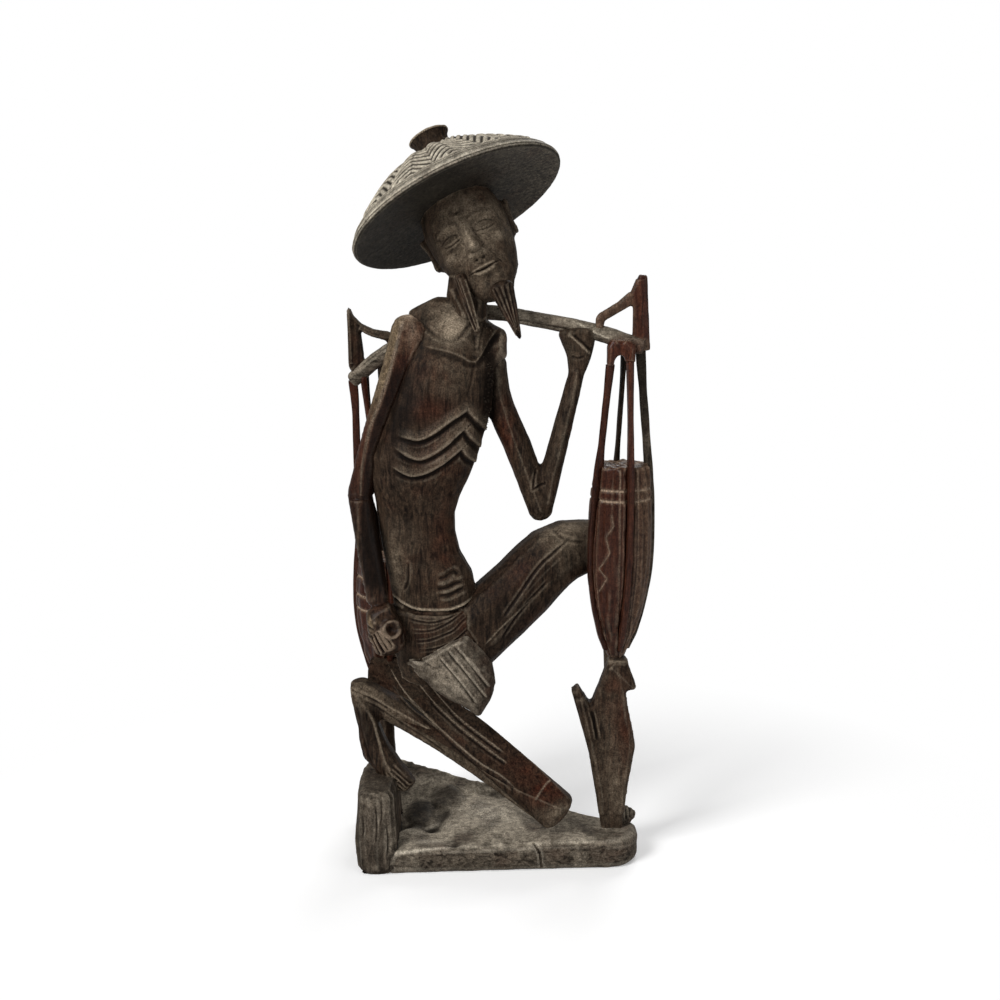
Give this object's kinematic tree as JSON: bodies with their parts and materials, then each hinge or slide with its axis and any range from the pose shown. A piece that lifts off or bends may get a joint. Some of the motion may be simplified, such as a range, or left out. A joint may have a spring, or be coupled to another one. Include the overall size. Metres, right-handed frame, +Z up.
{
  "type": "carved wooden figure",
  "caption": "Free-standing carved wooden figure of a kneeling porter in a wide hat, with two tall caged baskets hung from a shoulder yoke, on a solid block.",
  "frame": {"origin": "middle of the footprint, on the flat underside of the block", "axes": "+Z up through the hat, +X towards the figure's raised knee and front basket, +Y towards the back of the figure"},
  "size_m": [0.2116, 0.1418, 0.5018],
  "materials": {
    "dark_wood": "waxed dark brown hardwood with grey dust in the cuts",
    "red_wood": "rubbed reddish brown hardwood, half gloss",
    "pale_wood": "dry pale grey outer wood, matt",
    "grey_wood": "weathered grey brown wood, matt"
  },
  "bodies": {
    "root": {"corner_stump": "grey_wood", "base_plinth": "pale_wood", "kneeling_thigh": "dark_wood", "kneeling_shin": "dark_wood", "kneeling_foot": "dark_wood", "front_basket": "red_wood", "rear_basket": "red_wood", "front_forked_support": "dark_wood", "rear_support": "dark_wood", "waist_wrap": "dark_wood", "cloth_fold": "grey_wood", "raised_thigh": "dark_wood", "raised_foot": "grey_wood", "raised_shin": "dark_wood", "yoke_pole": "pale_wood", "torso": "dark_wood", "head": "dark_wood", "neck": "dark_wood", "goatee": "dark_wood", "beard_strand": "dark_wood", "hat": "pale_wood", "hat_knob": "dark_wood", "right_upper_arm": "red_wood", "right_forearm": "dark_wood", "right_fist": "dark_wood", "left_upper_arm": "dark_wood", "left_forearm": "dark_wood", "left_hand": "dark_wood", "front_yoke_horn": "red_wood", "rear_yoke_horn": "dark_wood", "front_saddle": "red_wood", "front_strap_1": "red_wood", "front_strap_2": "red_wood", "front_strap_3": "dark_wood", "front_strap_4": "grey_wood", "rear_strap_1": "red_wood", "rear_strap_2": "red_wood", "rear_strap_3": "dark_wood", "rear_strap_4": "grey_wood"}
  },
  "joints": []
}
